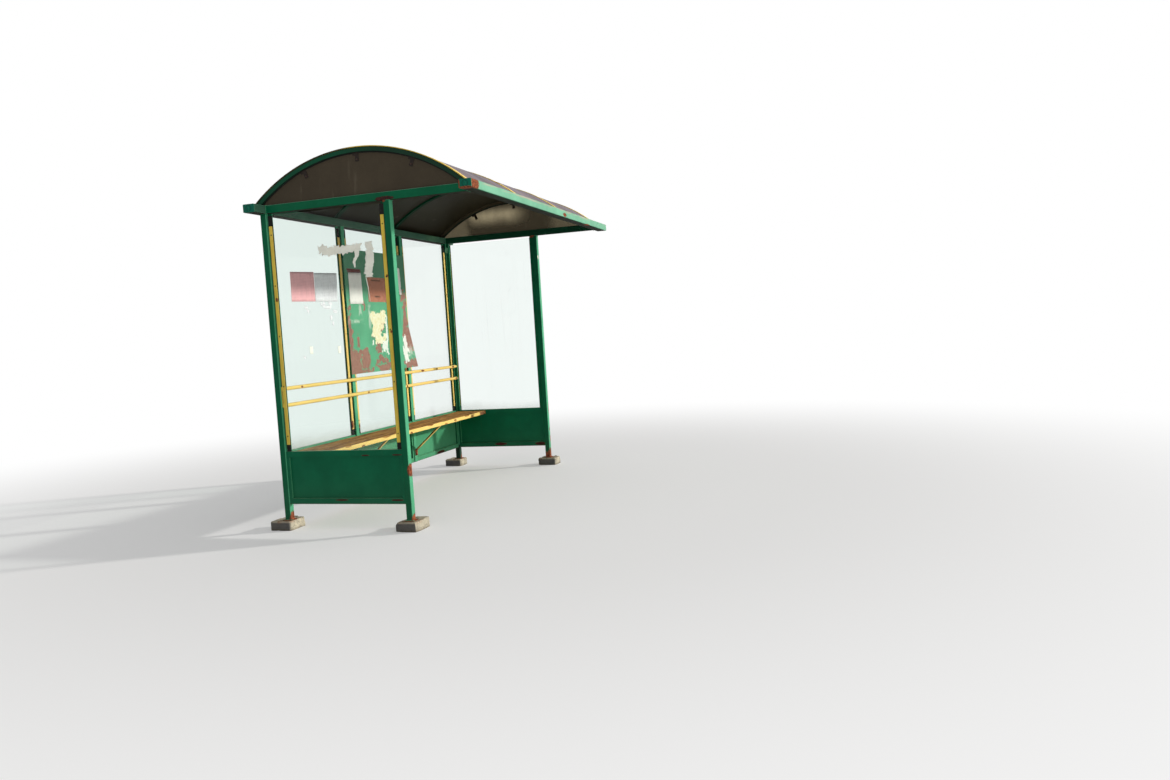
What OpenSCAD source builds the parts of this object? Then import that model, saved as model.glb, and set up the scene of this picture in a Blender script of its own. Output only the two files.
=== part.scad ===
// Bus shelter: steel frame with glazed walls and a vaulted roof sheet
// The length runs along X, the open front faces -Y and Z points up.
// The origin is on the ground in the middle of the footprint.

/* [Frame] */
// Length over the outer faces of the end posts
frame_length = 2842; // [2400:2:4200]
// Depth over the outer faces of the front and back posts
frame_depth = 1004; // [900:2:1500]
// Side of the square post tube
post_size = 46; // [40:1:60]
// Wall of the post and beam tubes
tube_wall = 3; // [2:0.5:4]
// Outer radius of the long edges of the post and beam tubes
tube_corner = 5; // [4.5:0.5:8]
// Height from the top of the footings to the underside of the roof beams
post_height = 2143; // [2000:1:2600]
// How far a base plate stands out round its post
base_margin = 12; // [6:1:13]
// Thickness of a base plate
base_thickness = 5; // [4:1:10]

/* [Footings] */
// Height of the concrete footings above the ground
footing_height = 70; // [40:1:120]
// How far the back footings reach behind the back posts
footing_behind = 110; // [60:1:200]
// Width of the chipped corners of a footing
footing_chip = 22; // [8:1:30]
// Front left footing: how far it reaches outside, inside, in front of and behind its post
front_left_margins = [34, 125, 44, 78]; // [14:1:160]
// Front right footing: the same margins
front_right_margins = [69, 40, 68, 70]; // [14:1:160]
// Back left footing: margins outside, inside and in front
back_left_margins = [34, 110, 14]; // [14:1:160]
// Back right footing: margins outside, inside and in front
back_right_margins = [79, 40, 20]; // [14:1:160]
// Wear of the footings' back top edges: front left, front right, back left, back right
footing_wear = [26, 14, 12, 18]; // [6:1:30]

/* [Roof] */
// Height of the roof beams
beam_height = 56; // [46:1:80]
// Depth of the front and back beams, from front to back
beam_depth = 88; // [60:1:120]
// How far the front beam stands in front of the front posts
front_overhang = 649; // [400:1:900]
// How far the front and back beams reach past each end wall
end_overhang = 124; // [60:1:250]
// Rise of the roof from the top of the beams to the crown
roof_rise = 316; // [250:1:450]
// Half of the roof's span between the beams, at the outer face of the cover strips
half_span = 817; // [780:1:830]
// Thickness of the roof and gable sheets
sheet_thickness = 4; // [3:0.5:6]
// Width of an arched rib along the shelter
rib_width = 40; // [30:1:60]
// Height of an end rib's tube across the arch
rib_depth = 26; // [20:1:40]
// Height of the two inner ribs' tubes across the arch
inner_rib_depth = 14; // [10:1:40]
// Width of the strips that cover the sheet over each rib
strip_width = 50; // [44:1:70]
// Thickness of the cover strips
strip_thickness = 5; // [3:0.5:8]
// Gap between a gable sheet and its rib
gable_gap = 7; // [4:1:20]
// Half of the angle between the outer clips of a gable
clip_spread = 20.5; // [12:0.5:28]

/* [Walls] */
// Gap from the top of the footings to the lower edge of the panels
panel_gap = 115; // [60:1:200]
// Height of the lower wall panels
panel_height = 372; // [300:1:600]
// Height of a panel's top and bottom rails
panel_rail = 40; // [30:1:60]
// Width of a panel's upright edges
panel_stile = 22; // [16:1:40]
// Depth of a panel's frame
panel_depth = 30; // [20:1:40]
// Thickness of a panel's sheet
panel_sheet = 3; // [2:0.5:4]
// Thickness of the glass
glass_thickness = 6; // [5:1:10]
// Gap between the top of the glass and the roof beams
glass_top_gap = 17; // [5:1:60]
// Gap between the glass and the posts beside it
glass_side_gap = 4; // [2:1:8]
// Width of the strips that clamp the glass
bead_width = 25; // [20:1:50]
// Thickness of the clamping strips
bead_thickness = 8; // [5:1:10]
// Gap between a clamping strip and its post
bead_gap = 10; // [6:1:16]
// Gap between a clamping strip and the panel under it
bead_bottom_gap = 48; // [10:1:100]
// Gap between a clamping strip and the roof beams over it
bead_top_gap = 88; // [20:1:150]
// Width of the fixed stops behind the glass
stop_width = 30; // [20:1:40]
// Thickness of the fixed stops
stop_thickness = 9; // [5:1:10]

/* [Bench] */
// Height of the seat above the footings
seat_height = 477; // [400:1:520]
// Depth of the seat
seat_depth = 306; // [250:1:450]
// Height of the seat's folded edges
seat_lip = 32; // [20:1:60]
// Outer radius of the seat's folds
seat_fold = 6; // [5.5:0.5:10]
// Thickness of the seat's steel sheet
seat_sheet = 3; // [2:0.5:5]
// Width of a bench bracket
bracket_width = 25; // [20:1:50]
// Thickness of a bench bracket
bracket_thickness = 12; // [6:1:16]
// Height of the bracket's foot above the footings
bracket_foot = 175; // [125:1:250]
// Distance from the seat's front edge to the head of the bracket
bracket_reach = 14; // [12:1:120]

/* [Handrails] */
// Height of the upper rail above the footings
upper_rail = 929; // [820:1:960]
// Distance between the two rails
rail_spacing = 118; // [80:1:200]
// Diameter of the rails
rail_diameter = 27; // [16:1:30]
// Width of the plates that join the rails at the corner posts
rail_plate = 22; // [16:1:30]
// Thickness of these plates
rail_plate_thickness = 5; // [3:1:8]

/* [Notice board] */
// Width of the notice board
board_width = 980; // [900:1:1000]
// Height of the notice board
board_height = 1000; // [600:1:1100]
// Height of its lower edge above the footings
board_bottom = 970; // [950:1:1100]
// Thickness of its steel sheet
board_sheet = 2; // [1.5:0.5:4]
// How far the bent corner reaches up the right edge
bent_up = 430; // [300:1:480]
// How far the bent corner reaches along the lower edge
bent_along = 340; // [300:1:450]
// Angle of the bent corner
bent_angle = 18; // [5:1:25]
// Radius of the bend
bend_radius = 210; // [100:5:300]

/* [Hidden] */
$fn = 96;
// The arch is so large that its circles need finer steps
ARCH_STEPS = 720;

LEFT = -1;
RIGHT = 1;
FRONT = -1;
BACK = 1;
SIDES = [LEFT, RIGHT];

STEEL_GREEN = [0.05, 0.42, 0.28];
RAIL_YELLOW = [0.90, 0.70, 0.30];
SMOKED_SHEET = [0.36, 0.30, 0.24, 0.75];
CLEAR_GLASS = [0.80, 0.88, 0.86, 0.30];
CONCRETE = [0.60, 0.58, 0.54];
DARK_STEEL = [0.12, 0.14, 0.13];

// The footprint runs from the front beam to the back of the back footings
overall_depth = front_overhang + frame_depth + footing_behind;
front_y = front_overhang - overall_depth / 2;
back_y = front_y + frame_depth;
end_x = frame_length / 2;
// Middle lines of the posts, where the glass stands
post_x = end_x - post_size / 2;
back_post_y = back_y - post_size / 2;
front_post_y = front_y + post_size / 2;
mullion_x = post_x / 3;
inner_face_y = back_y - post_size;
// Clear length of one bay of the back wall
bay_length = 2 * mullion_x - post_size;

foot_z = footing_height;
beam_z = foot_z + post_height;
beam_top = beam_z + beam_height;
panel_bottom = foot_z + panel_gap;
panel_top = panel_bottom + panel_height;
glass_top = beam_z - glass_top_gap;
bead_bottom = panel_top + bead_bottom_gap;
bead_top = beam_z - bead_top_gap;

// Every arc of the roof shares one centre, found from the rise and the span
strip_radius = (half_span * half_span + roof_rise * roof_rise) / (2 * roof_rise);
arch_z = beam_top + roof_rise - strip_radius;
sheet_radius = strip_radius - strip_thickness;
rib_radius = sheet_radius - sheet_thickness;
rib_inner_radius = rib_radius - rib_depth;
gable_radius = rib_inner_radius - gable_gap;
rib_x = end_x - rib_width / 2;
beam_front_y = front_y - front_overhang;
// The back beam stands this far in front of the uprights' inner faces
back_beam_shift = 4;
beam_back_y = inner_face_y - back_beam_shift;
cap_thickness = 3;
cap_boss_radius = 20;
cap_boss_height = 2;
// A clip is a foot along the rib with a leg down over the sheet at its front end
clip_foot = 44;
clip_foot_height = 22;
clip_leg = 26;
clip_length = 60;
clip_thickness = 3;
// The board starts to bend a little before the line that its corner is bent along
bend_lead = 8;
// Slack for cutting tools that have to pass a face
over = 10;
far = 3 * frame_length;

// Rectangle from corner [0, 0] with round corners
module round_rectangle(size, radius) {
    translate([radius, 0]) square([size.x - 2 * radius, size.y]);
    translate([0, radius]) square([size.x, size.y - 2 * radius]);
    for (x = [radius, size.x - radius], y = [radius, size.y - radius])
        translate([x, y]) circle(r = radius);
}

// Rolled tube from corner [0, 0, 0], which stands up along Z; closed has a plate in each end
module tube(size, closed = true) {
    wall = tube_wall;
    end = closed ? wall : -over;
    difference() {
        linear_extrude(size.z) round_rectangle(size, tube_corner);
        translate([wall, wall, end])
            linear_extrude(size.z - 2 * end)
                round_rectangle([size.x - 2 * wall, size.y - 2 * wall], tube_corner - wall);
    }
}

// Moves a drawing of the arch, made in X and Y, upright into Y and Z, centred on x
module upright(x, width) {
    translate([x - width / 2, 0, 0])
        rotate([90, 0, 90])
            linear_extrude(width) children();
}

// Band between two radii of the arch, over the height floor_z
module arch_band(outer, inner, floor_z) {
    difference() {
        translate([0, arch_z]) circle(r = outer, $fn = ARCH_STEPS);
        translate([0, arch_z]) circle(r = inner, $fn = ARCH_STEPS);
        translate([-far / 2, floor_z - far]) square([far, far]);
    }
}

// Cast block round a post at x and y, with broken corners and its back top edge worn away
// The margins go from the post's faces: outside, inside, in front and behind
module footing(side, y_mid, margins, wear) {
    reach = post_size / 2;
    x_from = side * post_x - reach - (side == LEFT ? margins[0] : margins[1]);
    y_from = y_mid - reach - margins[2];
    width = post_size + margins[0] + margins[1];
    depth = post_size + margins[2] + margins[3];
    color(CONCRETE)
    translate([x_from, y_from, 0])
        intersection() {
            linear_extrude(footing_height)
                polygon([
                    [footing_chip, 0], [width - footing_chip / 2, 0], [width, footing_chip],
                    [width, depth - footing_chip / 2], [width - footing_chip, depth],
                    [footing_chip / 2, depth], [0, depth - footing_chip], [0, footing_chip / 2]
                ]);
            rotate([90, 0, 90])
                linear_extrude(width)
                    polygon([
                        [0, 0], [depth, 0], [depth, footing_height - wear],
                        [depth - wear, footing_height], [footing_chip / 4, footing_height],
                        [0, footing_height - footing_chip / 2]
                    ]);
        }
}

// Corner post on its base plate, with the fixed stops for the glass on its two inner sides
module corner_post(side, depth_side) {
    y_mid = depth_side == FRONT ? front_post_y : back_post_y;
    plate = post_size + 2 * base_margin;
    color(STEEL_GREEN)
    union() {
        translate([side * post_x - post_size / 2, y_mid - post_size / 2, foot_z])
            tube([post_size, post_size, post_height]);
        translate([side * post_x - plate / 2, y_mid - plate / 2, foot_z])
            cube([plate, plate, base_thickness]);
        end_stop(side, depth_side);
        if (depth_side == BACK) back_stop(side * post_x, -side);
    }
}

// Stop on a corner post for the end glass, on its inner side
module end_stop(side, depth_side) {
    x = side * (post_x - glass_thickness / 2) - (side == RIGHT ? stop_thickness : 0);
    y = depth_side == FRONT ? front_post_y + post_size / 2 : back_post_y - post_size / 2 - stop_width;
    translate([x, y, panel_top])
        cube([stop_thickness, stop_width, beam_z - panel_top]);
}

// Stop for the back glass, on the outer side, next to the post at x and towards one side
module back_stop(x, towards) {
    x_from = x + towards * post_size / 2 - (towards == LEFT ? stop_width : 0);
    translate([x_from, back_post_y + glass_thickness / 2, panel_top])
        cube([stop_width, stop_thickness, beam_z - panel_top]);
}

// Upright between two bays of the back wall, which ends with the panels
module mullion(side) {
    x = side * mullion_x;
    color(STEEL_GREEN)
    union() {
        translate([x - post_size / 2, inner_face_y, panel_bottom])
            tube([post_size, post_size, beam_z - panel_bottom]);
        back_stop(x, LEFT);
        back_stop(x, RIGHT);
    }
}

// Framed sheet steel panel, drawn along X from its lower left corner
module wall_panel(length) {
    difference() {
        translate([0, -panel_depth / 2, 0])
            cube([length, panel_depth, panel_height]);
        for (face = [FRONT, BACK])
            translate([
                panel_stile,
                face == FRONT ? -panel_depth / 2 - over : panel_sheet / 2,
                panel_rail
            ])
                cube([
                    length - 2 * panel_stile,
                    panel_depth / 2 - panel_sheet / 2 + over,
                    panel_height - 2 * panel_rail
                ]);
    }
}

module end_panel(side) {
    color(STEEL_GREEN)
    translate([side * post_x, front_post_y + post_size / 2, panel_bottom])
        rotate([0, 0, 90])
            wall_panel(frame_depth - 2 * post_size);
}

module back_panel(bay) {
    color(STEEL_GREEN)
    translate([bay * 2 * mullion_x - bay_length / 2, back_post_y, panel_bottom])
        wall_panel(bay_length);
}

module end_glass(side) {
    length = frame_depth - 2 * post_size - 2 * glass_side_gap;
    color(CLEAR_GLASS)
    translate([
        side * post_x - glass_thickness / 2,
        front_post_y + post_size / 2 + glass_side_gap,
        panel_top
    ])
        cube([glass_thickness, length, glass_top - panel_top]);
}

module back_glass(bay) {
    length = bay_length - 2 * glass_side_gap;
    color(CLEAR_GLASS)
    translate([bay * 2 * mullion_x - length / 2, back_post_y - glass_thickness / 2, panel_top])
        cube([length, glass_thickness, glass_top - panel_top]);
}

// Clamping strips of an end wall, on the outside of the glass
module end_beads(side) {
    x = side * (post_x + glass_thickness / 2) - (side == LEFT ? bead_thickness : 0);
    color(RAIL_YELLOW)
    for (y = [front_y + post_size + bead_gap, inner_face_y - bead_gap - bead_width])
        translate([x, y, bead_bottom])
            cube([bead_thickness, bead_width, bead_top - bead_bottom]);
}

// Clamping strips of the back wall, on the inside of the glass, two to a bay
module back_beads() {
    offset_x = bay_length / 2 - bead_gap - bead_width;
    color(RAIL_YELLOW)
    for (bay = [-1, 0, 1], towards = SIDES)
        translate([
            bay * 2 * mullion_x + (towards == LEFT ? -offset_x - bead_width : offset_x),
            back_post_y - glass_thickness / 2 - bead_thickness,
            bead_bottom
        ])
            cube([bead_width, bead_thickness, bead_top - bead_bottom]);
}

// Front or back beam of the roof, closed at its ends by the caps
module long_beam(y_from) {
    length = 2 * (end_x + end_overhang) - 2 * cap_thickness;
    color(STEEL_GREEN)
    translate([-length / 2, y_from, beam_z])
        rotate([90, 0, 90])
            tube([beam_depth, beam_height, length], closed = false);
}

// Side beam over an end wall, between the front and the back beam
module side_beam(side) {
    y_from = beam_front_y + beam_depth;
    color(STEEL_GREEN)
    translate([side * post_x - post_size / 2, beam_back_y, beam_z])
        rotate([90, 0, 0])
            tube([post_size, beam_height, beam_back_y - y_from]);
}

// Flat cap with a round plug, set towards the back of the beam
module end_cap(side, y_from) {
    x = side * (end_x + end_overhang - cap_thickness);
    plug_y = y_from + beam_depth - beam_height / 2;
    translate([x, 0, 0])
        rotate([0, side * 90, 0])
            union() {
                translate([-side * (beam_z + beam_height / 2) - beam_height / 2, y_from, 0])
                    linear_extrude(cap_thickness)
                        round_rectangle([beam_height, beam_depth], tube_corner);
                translate([-side * (beam_z + beam_height / 2), plug_y, 0])
                    cylinder(r = cap_boss_radius, h = cap_thickness + cap_boss_height);
            }
}

module end_caps() {
    color(STEEL_GREEN)
    for (side = SIDES, y_from = [beam_front_y, beam_back_y])
        end_cap(side, y_from);
}

// Arched rib, a rolled tube whose open ends stand on the front and back beams
module rib(x, depth) {
    color(STEEL_GREEN)
    difference() {
        upright(x, rib_width) arch_band(rib_radius, rib_radius - depth, beam_top);
        upright(x, rib_width - 2 * tube_wall)
            arch_band(rib_radius - tube_wall, rib_radius - depth + tube_wall, beam_top - over);
    }
}

// Roof sheet of one bay, bent over the two ribs that carry it
module roof_sheet(x_from, x_to) {
    color(SMOKED_SHEET)
    upright((x_from + x_to) / 2, x_to - x_from)
        arch_band(sheet_radius, rib_radius, beam_top);
}

// Strips over the ribs, which hold the sheets down
module cover_strip_set() {
    color(RAIL_YELLOW)
    for (x = [-rib_x, -mullion_x, mullion_x, rib_x])
        upright(x, strip_width) arch_band(strip_radius, sheet_radius, beam_top);
}

// Flat sheet that closes the end of the vault
module gable(side) {
    color(SMOKED_SHEET)
    upright(side * rib_x, sheet_thickness)
        difference() {
            translate([0, arch_z]) circle(r = gable_radius, $fn = ARCH_STEPS);
            translate([-far / 2, beam_top - far]) square([far, far]);
        }
}

// Three clips that hang each gable sheet from its rib
module clip_set() {
    color(DARK_STEEL)
    for (side = SIDES, turn = [-clip_spread, 0, clip_spread])
        upright(side * (rib_x + sheet_thickness / 2 + clip_thickness / 2), clip_thickness)
            intersection() {
                translate([0, arch_z]) circle(r = rib_inner_radius, $fn = ARCH_STEPS);
                translate([0, arch_z])
                    rotate(turn)
                        translate([-clip_foot / 2, rib_inner_radius - clip_length])
                            polygon([
                                [0, 0], [clip_leg, 0], [clip_leg, clip_length - clip_foot_height],
                                [clip_foot, clip_length - clip_foot_height],
                                [clip_foot, clip_length + over], [0, clip_length + over]
                            ]);
            }
}

// Two rails on the fronts of the back uprights, joined by a plate at each corner post
module handrail_pair() {
    length = 2 * (end_x - post_size / 4);
    y = inner_face_y - rail_diameter / 2;
    plate_bottom = foot_z + upper_rail - rail_spacing - rail_diameter / 2;
    color(RAIL_YELLOW)
    difference() {
        union() {
            for (z = [upper_rail, upper_rail - rail_spacing])
                translate([-length / 2, y, foot_z + z])
                    rotate([0, 90, 0]) cylinder(d = rail_diameter, h = length);
            for (side = SIDES)
                translate([
                    side * post_x - rail_plate / 2,
                    inner_face_y - rail_plate_thickness,
                    plate_bottom
                ])
                    cube([rail_plate, rail_plate_thickness, rail_spacing + rail_diameter]);
        }
        for (z = [upper_rail, upper_rail - rail_spacing])
            translate([-length / 2 + tube_wall, y, foot_z + z])
                rotate([0, 90, 0]) cylinder(d = rail_diameter - 2 * tube_wall, h = length - 2 * tube_wall);
    }
}

// Folded steel seat between the end walls, open underneath
module seat() {
    length = 2 * (post_x - panel_depth / 2);
    top = foot_z + seat_height;
    color(RAIL_YELLOW)
    translate([-length / 2, inner_face_y - seat_depth, top - seat_lip])
        rotate([90, 0, 90])
            linear_extrude(length)
                difference() {
                    intersection() {
                        translate([0, -seat_lip])
                            round_rectangle([seat_depth, 2 * seat_lip], seat_fold);
                        square([seat_depth, seat_lip]);
                    }
                    translate([seat_sheet, -2 * seat_lip])
                        round_rectangle(
                            [seat_depth - 2 * seat_sheet, 3 * seat_lip - seat_sheet],
                            seat_fold - seat_sheet
                        );
                }
}

// Bracket bent from flat bar: a foot on the mullion and a strut that runs up to the seat
module bracket(side) {
    foot_length = 50;
    t = bracket_thickness;
    knee = [inner_face_y, foot_z + bracket_foot + foot_length];
    head = [inner_face_y - seat_depth + bracket_reach, foot_z + seat_height - seat_sheet];
    run = (head - knee) / norm(head - knee);
    upright(side * mullion_x, bracket_width)
        polygon([
            knee - [0, foot_length], knee, head, head - [t / run.y, 0],
            knee - [t, t * (1 - run.y) / -run.x], knee - [t, foot_length]
        ]);
}

module bench_bracket_set() {
    color(RAIL_YELLOW)
    for (side = SIDES) bracket(side);
}

// Section across the bend: the flat sheet, an arc that rises from it, then a straight leg
module bend_section(leg) {
    translate([-far, 0]) square([far, board_sheet]);
    difference() {
        translate([0, bend_radius]) circle(r = bend_radius, $fn = ARCH_STEPS);
        translate([0, bend_radius]) circle(r = bend_radius - board_sheet, $fn = ARCH_STEPS);
        translate([-far, -over]) square([far, far]);
        translate([0, bend_radius]) rotate(bent_angle) translate([0, -far / 2]) square([far, far]);
    }
    translate([0, bend_radius])
        rotate(bent_angle)
            translate([0, -bend_radius])
                square([leg, board_sheet]);
}

// Sheet steel board over the middle bay, its lower right corner bent forwards
module board() {
    line = norm([bent_along, bent_up]);
    along = [bent_along, bent_up] / line;
    away = [along.y, -along.x];
    reach = bent_along * along.y;
    arc = bend_radius * bent_angle * PI / 180;
    leg = reach + bend_lead - arc;
    bent_reach = bend_radius * sin(bent_angle) + leg * cos(bent_angle) - bend_lead;
    fold_start = [board_width - bent_along, 0];
    color(STEEL_GREEN)
    translate([-board_width / 2, inner_face_y, foot_z + board_bottom])
        rotate([90, 0, 0])
            intersection() {
                translate([fold_start.x, fold_start.y, 0])
                    rotate([0, 0, atan2(bent_up, bent_along)])
                        rotate([90, 0, 90])
                            mirror([1, 0, 0])
                                linear_extrude(far, center = true)
                                    translate([-bend_lead, 0]) bend_section(reach);
                translate([0, 0, -over])
                    linear_extrude(reach)
                        polygon([
                            [0, 0], fold_start,
                            fold_start + bent_along * along.x * along + bent_reach * away,
                            [board_width, bent_up], [board_width, board_height], [0, board_height]
                        ]);
            }
}

footing(LEFT, front_post_y, front_left_margins, footing_wear[0]);  // footing_front_left
footing(RIGHT, front_post_y, front_right_margins, footing_wear[1]);  // footing_front_right
footing(LEFT, back_post_y, concat(back_left_margins, footing_behind), footing_wear[2]);  // footing_back_left
footing(RIGHT, back_post_y, concat(back_right_margins, footing_behind), footing_wear[3]);  // footing_back_right
corner_post(LEFT, FRONT);  // post_front_left
corner_post(RIGHT, FRONT);  // post_front_right
corner_post(LEFT, BACK);  // post_back_left
corner_post(RIGHT, BACK);  // post_back_right
mullion(LEFT);  // mullion_left
mullion(RIGHT);  // mullion_right
end_panel(LEFT);  // panel_left_end
end_panel(RIGHT);  // panel_right_end
back_panel(-1);  // panel_back_left
back_panel(0);  // panel_back_middle
back_panel(1);  // panel_back_right
end_glass(LEFT);  // glass_left_end
end_glass(RIGHT);  // glass_right_end
back_glass(-1);  // glass_back_left
back_glass(0);  // glass_back_middle
back_glass(1);  // glass_back_right
end_beads(LEFT);  // beads_left_end
end_beads(RIGHT);  // beads_right_end
back_beads();  // beads_back
long_beam(beam_front_y);  // beam_front
long_beam(beam_back_y);  // beam_back
side_beam(LEFT);  // beam_left
side_beam(RIGHT);  // beam_right
end_caps();  // beam_end_caps
rib(-rib_x, rib_depth);  // rib_left
rib(-mullion_x, inner_rib_depth);  // rib_inner_left
rib(mullion_x, inner_rib_depth);  // rib_inner_right
rib(rib_x, rib_depth);  // rib_right
roof_sheet(-end_x, -mullion_x);  // roof_sheet_left
roof_sheet(-mullion_x, mullion_x);  // roof_sheet_middle
roof_sheet(mullion_x, end_x);  // roof_sheet_right
cover_strip_set();  // cover_strips
gable(LEFT);  // gable_left
gable(RIGHT);  // gable_right
clip_set();  // gable_clips
handrail_pair();  // handrails
seat();  // bench_seat
bench_bracket_set();  // bench_brackets
board();  // notice_board
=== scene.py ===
# Bus shelter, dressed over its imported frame.
# Lengths are metres in the frame of the model: X runs along the shelter, the open front faces -Y.
# The sections follow the shelter as it is put up, from the concrete to the notices.
import math

import bmesh
import bpy
from mathutils import Matrix, Vector, noise


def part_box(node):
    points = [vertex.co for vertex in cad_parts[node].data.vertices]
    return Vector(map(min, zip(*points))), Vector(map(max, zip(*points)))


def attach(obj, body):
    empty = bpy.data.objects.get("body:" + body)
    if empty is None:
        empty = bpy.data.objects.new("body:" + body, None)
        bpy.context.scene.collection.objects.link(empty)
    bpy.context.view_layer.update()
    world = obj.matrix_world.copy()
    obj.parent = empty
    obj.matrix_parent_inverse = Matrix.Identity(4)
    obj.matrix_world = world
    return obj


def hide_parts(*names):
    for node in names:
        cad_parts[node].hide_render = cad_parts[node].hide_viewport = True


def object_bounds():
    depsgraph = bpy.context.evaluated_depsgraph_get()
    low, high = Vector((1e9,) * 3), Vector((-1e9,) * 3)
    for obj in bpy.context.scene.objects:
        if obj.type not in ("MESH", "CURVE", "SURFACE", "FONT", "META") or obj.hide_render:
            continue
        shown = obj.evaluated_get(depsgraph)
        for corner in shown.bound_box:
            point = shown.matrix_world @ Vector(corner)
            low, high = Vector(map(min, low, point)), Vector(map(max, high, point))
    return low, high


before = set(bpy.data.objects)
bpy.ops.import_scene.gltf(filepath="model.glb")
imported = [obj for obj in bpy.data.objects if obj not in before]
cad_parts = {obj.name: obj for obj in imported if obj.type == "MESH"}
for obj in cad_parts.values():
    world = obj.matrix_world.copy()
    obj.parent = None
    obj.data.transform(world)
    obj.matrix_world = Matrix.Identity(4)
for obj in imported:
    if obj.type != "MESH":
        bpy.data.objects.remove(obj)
cad_low, cad_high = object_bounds()


# Camera
# A compact camera held at eye height in front of the left end, turned along the shelter.
# Its place, turn and focal length come from the straight edges of the posts and beams in the picture.
IMAGE_WIDTH = 1170
FOCAL_PIXELS = 889.6
SENSOR_WIDTH = 36.0
YAW, PITCH, ROLL = (math.radians(angle) for angle in (72.650, -3.860, -3.463))
EYE = Vector((-6.7122, -3.1539, 1.2832))

ahead = Vector((math.cos(PITCH) * math.sin(YAW), math.cos(PITCH) * math.cos(YAW), math.sin(PITCH)))
level_right = Vector((math.cos(YAW), -math.sin(YAW), 0))
level_up = level_right.cross(ahead)
right = math.cos(ROLL) * level_right + math.sin(ROLL) * level_up
up = math.cos(ROLL) * level_up - math.sin(ROLL) * level_right
camera_data = bpy.data.cameras.new("camera")
camera_data.sensor_width = SENSOR_WIDTH
camera_data.lens = FOCAL_PIXELS / IMAGE_WIDTH * SENSOR_WIDTH
camera_data.clip_end = 200
camera = bpy.data.objects.new("camera", camera_data)
camera.matrix_world = Matrix.Translation(EYE) @ Matrix((right, up, -ahead)).transposed().to_4x4()
bpy.context.scene.collection.objects.link(camera)
bpy.context.scene.camera = camera
bpy.context.scene.view_settings.view_transform = "Standard"


# Studio
# A pale floor that fades to white, and a white surround that only the eye, gloss and glass see at
# full strength and that gives more light from the front. A soft key lamp shines in under the roof.
FLOOR_SIZE = 120
FLOOR_GREY = 0.84
FLOOR_LIFT = 0.22
FADE_FROM, FADE_TO = 2.5, 8.0
FILL_STRENGTH = 0.52
FILL_FROM_FRONT = 0.34
KEY_STRENGTH = 2.72
KEY_COLOUR = (1.0, 0.97, 0.92)
KEY_SOFTNESS = math.radians(3)
KEY_HEIGHT, KEY_TURN = math.radians(16), math.radians(28)


def paint(colour):
    """A colour as it looks on a screen, in three parts of 0 to 255, as Blender's linear one."""
    if isinstance(colour, Wire) or len(colour) == 4:
        return colour
    linear = [((part / 255 + 0.055) / 1.055) ** 2.4 if part > 10 else part / 255 / 12.92 for part in colour]
    return (*linear, 1.0)


class Wire:
    """A socket of a node tree, on which sums add Math nodes and node() adds any other node."""

    def __init__(self, tree, socket=None):
        self.tree = tree
        self.socket = socket

    def node(self, kind, settings=None, inputs=None, output=0):
        """Sets a new node's settings, then the values or wires of its inputs; gives one output's wire."""
        made = self.tree.nodes.new(kind if "Node" in kind else "ShaderNode" + kind)
        for name, value in (settings or {}).items():
            setattr(made, name, value)
        for name, value in (inputs or {}).items():
            if isinstance(value, Wire):
                self.tree.links.new(value.socket, made.inputs[name])
            else:
                made.inputs[name].default_value = value
        return Wire(self.tree, made.outputs[output] if made.outputs else None)

    def maths(self, operation, *values):
        return self.node("Math", {"operation": operation}, dict(enumerate(values)))

    def vector(self, operation, other=(0.0, 0.0, 0.0), output=0):
        return self.node("VectorMath", {"operation": operation}, {0: self, 1: other}, output)

    def __add__(self, other):
        return self.maths("ADD", self, other)

    def __sub__(self, other):
        return self.maths("SUBTRACT", self, other)

    def __rsub__(self, other):
        return self.maths("SUBTRACT", other, self)

    def __mul__(self, other):
        return self.maths("MULTIPLY", self, other)

    def __truediv__(self, other):
        return self.maths("DIVIDE", self, other)

    def __pow__(self, other):
        return self.maths("POWER", self, other)

    def __abs__(self):
        return self.maths("ABSOLUTE", self)

    __radd__ = __add__
    __rmul__ = __mul__

    def over(self, other):
        return self.maths("MAXIMUM", self, other)

    def under(self, other):
        return self.maths("MINIMUM", self, other)

    def part(self, number):
        return self.node("SeparateXYZ", {}, {0: self}, number)

    x = property(lambda self: self.part(0))
    y = property(lambda self: self.part(1))
    z = property(lambda self: self.part(2))

    def step(self, low, high):
        """0 below low and 1 above high, or the other way round where low is the larger."""
        return self.node("MapRange", {"interpolation_type": "SMOOTHSTEP"}, {0: self, 1: low, 2: high})

    def between(self, low, high, soft):
        return self.step(low - soft, low) * self.step(high + soft, high)

    def facing(self):
        """The way that the same surface faces."""
        return self.node("TexCoord", output="Normal")

    def stretch(self, x, y, z):
        return self.node("Mapping", {}, {"Vector": self, "Scale": (x, y, z)})

    def noise(self, scale, detail=3.0, roughness=0.5, distortion=0.0, output=0):
        return self.node("TexNoise", {}, {
            "Vector": self, "Scale": scale, "Detail": detail,
            "Roughness": roughness, "Distortion": distortion,
        }, output)

    def cells(self, scale):
        """Distances from scattered points."""
        return self.node("TexVoronoi", {"feature": "F1"}, {"Vector": self, "Scale": scale}, "Distance")

    def mix(self, first, second):
        """The first colour where this is 0 and the second where it is 1."""
        return self.node("Mix", {"data_type": "RGBA"}, {0: self, 6: paint(first), 7: paint(second)}, 2)


def start_finish(name):
    """A new material, and the wire of its object coordinates."""
    finish = bpy.data.materials.new(name)
    finish.use_nodes = True
    return finish, Wire(finish.node_tree).node("TexCoord", output="Object")


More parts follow.
